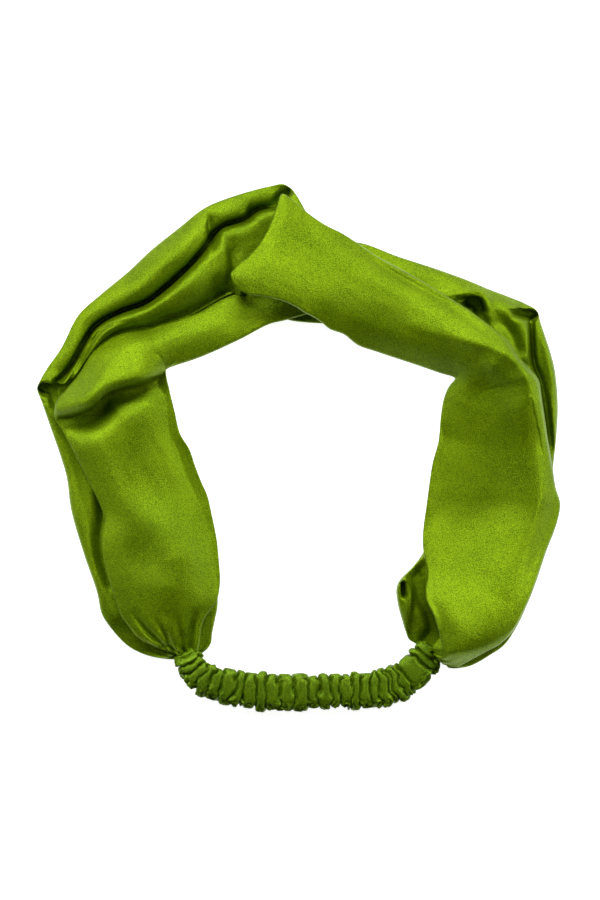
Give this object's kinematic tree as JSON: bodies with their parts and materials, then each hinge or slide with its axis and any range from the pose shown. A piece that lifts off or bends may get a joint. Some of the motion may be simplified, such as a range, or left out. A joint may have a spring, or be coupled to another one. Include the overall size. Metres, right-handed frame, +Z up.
{
  "type": "knotted headband",
  "caption": "Wide satin headband of two folded bands looped through each other in a front knot, closed at the back by a ruched elastic casing.",
  "frame": {"origin": "middle of the underside, where the headband lies flat on a table", "axes": "+X towards the right band, +Y from the elastic towards the knot, +Z up off the table"},
  "size_m": [0.2082, 0.2092, 0.031],
  "materials": {
    "band_satin": "satin weave with a soft sheen",
    "casing_satin": "satin weave, closely ruched",
    "elastic": "woven elastic, matt",
    "sewing_thread": "twisted polyester thread"
  },
  "bodies": {
    "right_side": {"right_band": "band_satin", "right_seam_thread": "sewing_thread", "elastic_casing": "casing_satin", "elastic_strip": "elastic"},
    "left_side": {"left_band": "band_satin", "left_seam_thread": "sewing_thread"}
  },
  "joints": [
    {"name": "elastic_stretch", "type": "hinge", "parent": "right_side", "child": "left_side", "pos_m": [-0.0239, 0.0639, 0], "axis": [0, 0, -1], "range_deg": [0, 20], "stiffness_Nm_per_rad": 3, "deforming": ["elastic_casing", "elastic_strip"]}
  ]
}
